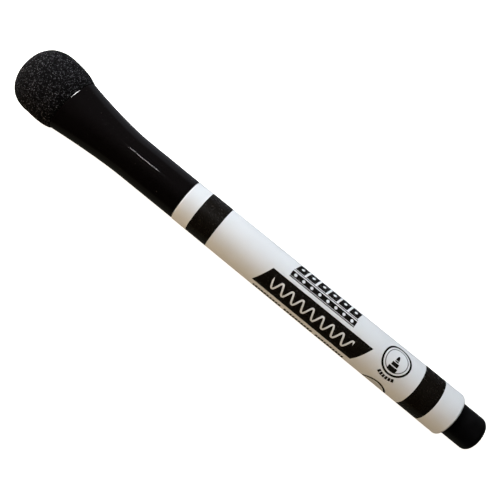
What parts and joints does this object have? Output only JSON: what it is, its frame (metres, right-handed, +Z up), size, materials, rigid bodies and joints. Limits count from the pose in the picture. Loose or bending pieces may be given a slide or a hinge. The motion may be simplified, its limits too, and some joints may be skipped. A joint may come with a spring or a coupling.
{
  "type": "whiteboard marker",
  "caption": "Slim capped whiteboard marker with a bullet nib, a stepped end plug and a flared oval cap that carries a foam eraser and a hidden magnet.",
  "frame": {"origin": "on the surface the marker lies on, under the middle of its box", "axes": "+X along the marker from the end plug to the eraser, the way the cap pulls off; +Z up; Y across, in the wide plane of the flare"},
  "size_m": [0.1354, 0.0164, 0.0113],
  "materials": {
    "barrel_plastic": "satin white moulded plastic with black printing",
    "cap_plastic": "polished black moulded plastic",
    "plug_plastic": "satin black moulded plastic",
    "seal_plastic": "waxy off-white moulded plastic",
    "ink_fibre": "bonded fibre soaked in black ink",
    "wrap_film": "clear heat-sealed film",
    "foam": "open-cell black foam",
    "magnet_plate": "nickel-plated sintered magnet"
  },
  "bodies": {
    "barrel": {"barrel": "barrel_plastic", "end_plug": "plug_plastic", "ink_filler": "ink_fibre", "filler_wrap": "wrap_film", "nib_section": "plug_plastic", "nib": "ink_fibre"},
    "cap": {"cap_shell": "cap_plastic", "inner_cap": "seal_plastic", "magnet": "magnet_plate", "eraser_seat": "plug_plastic", "eraser_foam": "foam"}
  },
  "joints": [
    {"name": "cap_slide", "type": "slide", "parent": "barrel", "child": "cap", "axis": [1, 0, 0], "range_m": [0, 0.045]}
  ]
}
